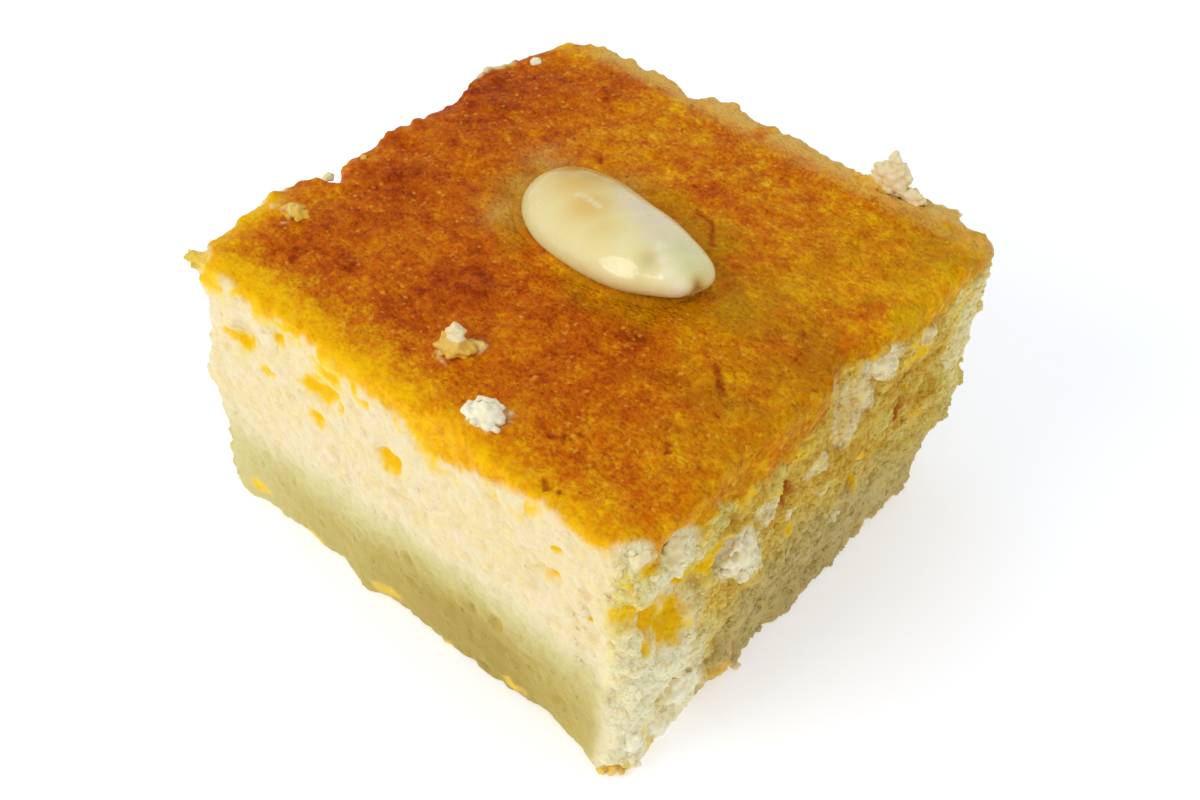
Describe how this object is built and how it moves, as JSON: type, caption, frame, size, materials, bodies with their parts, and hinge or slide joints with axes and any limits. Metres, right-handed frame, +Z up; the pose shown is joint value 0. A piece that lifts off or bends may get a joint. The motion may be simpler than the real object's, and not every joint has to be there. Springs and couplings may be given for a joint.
{
  "type": "basbousa piece",
  "caption": "Square-cut block of soaked semolina cake with a browned crust, crumbly sides and a blanched almond lying in its top.",
  "frame": {"origin": "middle of the flat base that the piece stands on", "axes": "+Z up through the crust; +X towards the rough cut on the right, -Y towards the clean cut at the front"},
  "size_m": [0.0555, 0.054, 0.0344],
  "materials": {
    "cake": "moist, grainy crumb under a golden brown crust",
    "almond": "smooth, waxy, lightly glazed with syrup"
  },
  "bodies": {
    "root": {"cake": "cake", "almond": "almond"}
  },
  "joints": []
}
